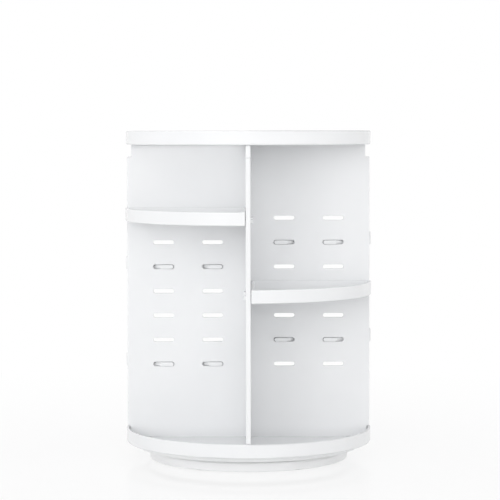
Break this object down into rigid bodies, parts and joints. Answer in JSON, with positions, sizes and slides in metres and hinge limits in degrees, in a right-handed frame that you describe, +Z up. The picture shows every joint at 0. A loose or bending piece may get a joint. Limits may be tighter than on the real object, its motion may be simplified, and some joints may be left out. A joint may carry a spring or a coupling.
{
  "type": "rotating makeup organizer",
  "caption": "Round turning organizer on a low turntable: crossed slotted boards carry hook-in quarter shelves between a rimmed lower tray and an upper tray with a brush opening.",
  "frame": {"origin": "on the turning axis, in the plane that the foot pads rest on", "axes": "+Z up along the turning axis; -Y is the front that the picture shows; +X to the right of that front"},
  "size_m": [0.2312, 0.2312, 0.3077],
  "materials": {
    "white_shell": "glossy white moulded plastic",
    "turntable_shell": "white moulded plastic, a little duller than the trays",
    "foot_rubber": "soft grey rubber",
    "bearing_steel": "polished steel",
    "cage_plastic": "natural matt plastic",
    "bush_plastic": "natural matt plastic, slippery",
    "screw_steel": "zinc-plated steel"
  },
  "bodies": {
    "base": {"turntable_base": "turntable_shell", "foot_pads": "foot_rubber", "pivot_bush": "bush_plastic"},
    "ball_ring": {"ball_cage": "cage_plastic", "bearing_balls": "bearing_steel"},
    "carousel": {"base_tray": "white_shell", "spinner_plate": "turntable_shell", "spinner_screws": "screw_steel", "pivot_washer": "screw_steel", "pivot_screw": "screw_steel", "right_board": "white_shell", "back_board": "white_shell", "left_board": "white_shell", "front_board": "white_shell", "top_tray": "white_shell"},
    "front_left_shelf": {"front_left_shelf": "white_shell"},
    "front_right_shelf": {"front_right_shelf": "white_shell"},
    "back_left_upper_shelf": {"back_left_upper_shelf": "white_shell"},
    "back_left_lower_shelf": {"back_left_lower_shelf": "white_shell"},
    "back_right_upper_shelf": {"back_right_upper_shelf": "white_shell"},
    "back_right_lower_shelf": {"back_right_lower_shelf": "white_shell"}
  },
  "joints": [
    {"name": "carousel_spin", "type": "hinge", "parent": "base", "child": "carousel", "pos_m": [0, 0, 0.0109], "axis": [0, 0, 1], "continuous": true},
    {"name": "ball_ring_spin", "type": "hinge", "parent": "base", "child": "ball_ring", "pos_m": [0, 0, 0.0109], "axis": [0, 0, 1], "continuous": true},
    {"name": "front_left_shelf_pull", "type": "slide", "parent": "carousel", "child": "front_left_shelf", "axis": [-0.7071, -0.7071, 0], "range_m": [0, 0.12]},
    {"name": "front_right_shelf_pull", "type": "slide", "parent": "carousel", "child": "front_right_shelf", "axis": [0.7071, -0.7071, 0], "range_m": [0, 0.12]},
    {"name": "back_left_upper_shelf_pull", "type": "slide", "parent": "carousel", "child": "back_left_upper_shelf", "axis": [-0.7071, 0.7071, 0], "range_m": [0, 0.12]},
    {"name": "back_left_lower_shelf_pull", "type": "slide", "parent": "carousel", "child": "back_left_lower_shelf", "axis": [-0.7071, 0.7071, 0], "range_m": [0, 0.12]},
    {"name": "back_right_upper_shelf_pull", "type": "slide", "parent": "carousel", "child": "back_right_upper_shelf", "axis": [0.7071, 0.7071, 0], "range_m": [0, 0.12]},
    {"name": "back_right_lower_shelf_pull", "type": "slide", "parent": "carousel", "child": "back_right_lower_shelf", "axis": [0.7071, 0.7071, 0], "range_m": [0, 0.12]}
  ],
  "couplings": [
    {"joint": "ball_ring_spin", "follows": "carousel_spin", "ratio": 0.5}
  ]
}
